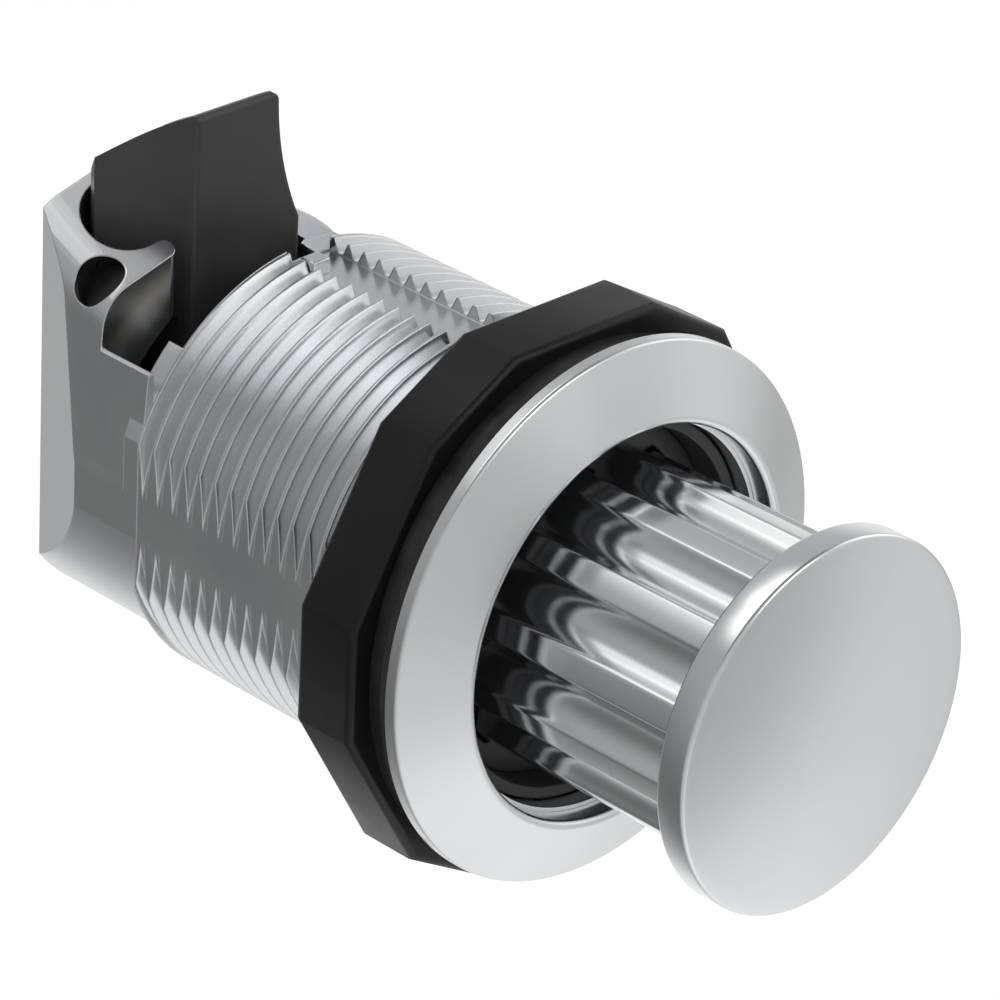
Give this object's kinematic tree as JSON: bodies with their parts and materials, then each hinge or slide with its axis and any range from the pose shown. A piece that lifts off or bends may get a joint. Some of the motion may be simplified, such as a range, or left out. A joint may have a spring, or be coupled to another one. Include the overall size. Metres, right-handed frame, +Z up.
{
  "type": "push-to-close latch",
  "caption": "Push-to-close panel latch with a pop-out fluted knob, threaded barrel with two flats, hexagon mounting nut and a slam pawl on top of its rear housing.",
  "frame": {"origin": "centre of the bezel's back face, where the panel's outer side seats, on the latch axis", "axes": "+Y along the latch axis from the knob to the rear housing, +Z up towards the pawl's tip, +X to the right as seen from the knob"},
  "size_m": [0.0396, 0.064, 0.0444],
  "materials": {
    "plated_casting": "satin plated die casting",
    "polished_chrome": "polished",
    "plated_sheet": "satin",
    "plain_steel": "machined",
    "spring_steel": "drawn wire",
    "black_steel": "black oxide",
    "black_plastic": "satin black moulding",
    "natural_plastic": "natural acetal",
    "black_rubber": "matt"
  },
  "bodies": {
    "housing": {"latch_body": "plated_casting", "bezel": "plated_casting", "gasket": "black_rubber", "thrust_washer": "natural_plastic", "rear_cover": "plated_sheet", "cover_seal": "black_rubber", "cover_screws": "plain_steel", "pawl_spring_left": "spring_steel", "pawl_spring_right": "spring_steel"},
    "sleeve": {"drive_sleeve": "black_plastic", "spline_ring": "black_plastic", "retaining_ring": "spring_steel", "crank_pin": "plain_steel", "follower_pin": "plain_steel", "knob_spring": "spring_steel"},
    "knob_body": {"knob": "polished_chrome", "plunger_rod": "plain_steel", "rod_pin": "plain_steel"},
    "follower": {"cam_follower": "spring_steel"},
    "roller": {"crank_roller": "plain_steel"},
    "pawl_body": {"pawl": "black_plastic"},
    "washer_body": {"clamp_washer": "black_steel"},
    "nut_body": {"mounting_nut": "black_plastic"}
  },
  "joints": [
    {"name": "sleeve_turn", "type": "hinge", "parent": "housing", "child": "sleeve", "pos_m": [0, 0, 0], "axis": [0, 1, 0], "range_deg": [0, 64], "stiffness_Nm_per_rad": 0.03, "springref_deg": -20.05},
    {"name": "knob_push", "type": "slide", "parent": "sleeve", "child": "knob_body", "axis": [0, 1, 0], "range_m": [0, 0.01771], "stiffness_N_per_m": 300, "springref_m": -0.01, "deforming": ["knob_spring"]},
    {"name": "follower_swing", "type": "hinge", "parent": "sleeve", "child": "follower", "pos_m": [0, 0.0244, 0.0026], "axis": [0, 0, 1], "range_deg": [0, 4.01]},
    {"name": "roller_spin", "type": "hinge", "parent": "sleeve", "child": "roller", "pos_m": [0.00712, 0.0316, 0.00445], "axis": [0, 1, 0], "continuous": true},
    {"name": "pawl_slide", "type": "slide", "parent": "housing", "child": "pawl_body", "axis": [0, 0, -1], "range_m": [0, 0.00891], "deforming": ["pawl_spring_left", "pawl_spring_right"]},
    {"name": "washer_travel", "type": "slide", "parent": "housing", "child": "washer_body", "axis": [0, 1, 0], "range_m": [0, 0.0195]},
    {"name": "nut_turn", "type": "hinge", "parent": "washer_body", "child": "nut_body", "pos_m": [0, 0.0048, 0], "axis": [0, 1, 0], "range_deg": [0, 4681]}
  ],
  "couplings": [
    {"joint": "follower_swing", "follows": "knob_push", "rad_per_m": 3.942},
    {"joint": "pawl_slide", "follows": "sleeve_turn", "m_per_rad": 0.0079701},
    {"joint": "nut_turn", "follows": "washer_travel", "rad_per_m": 4188.8}
  ]
}
